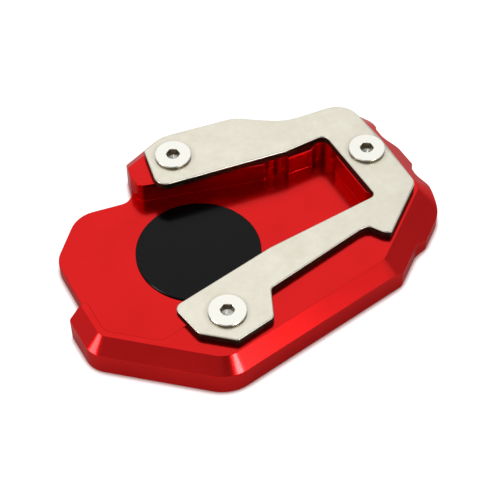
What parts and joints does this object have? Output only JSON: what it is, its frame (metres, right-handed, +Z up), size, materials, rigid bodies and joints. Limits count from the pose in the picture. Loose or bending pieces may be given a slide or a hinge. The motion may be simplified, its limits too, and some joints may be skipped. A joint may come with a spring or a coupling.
{
  "type": "motorcycle side stand foot enlarger",
  "caption": "Side stand foot enlarger: a chamfered red base with an open pocket for the stand's foot and a screwed-on U-shaped clamp plate of brushed steel.",
  "frame": {"origin": "middle of the part's outer box, on the ground plane under the base", "axes": "+Z up from the ground, +X along the part's length away from the pocket's open end, +Y to the far side, away from the base's pointed nose"},
  "size_m": [0.12, 0.099, 0.016],
  "materials": {
    "base": "red anodised over a fine satin milled surface",
    "clamp": "tumbled satin stainless sheet with rounded edges",
    "screws": "bright turned stainless",
    "pad": "smooth satin black"
  },
  "bodies": {
    "root": {"base_plate": "base", "clamp_plate": "clamp", "clamp_screws": "screws", "foot_pad": "pad"}
  },
  "joints": []
}
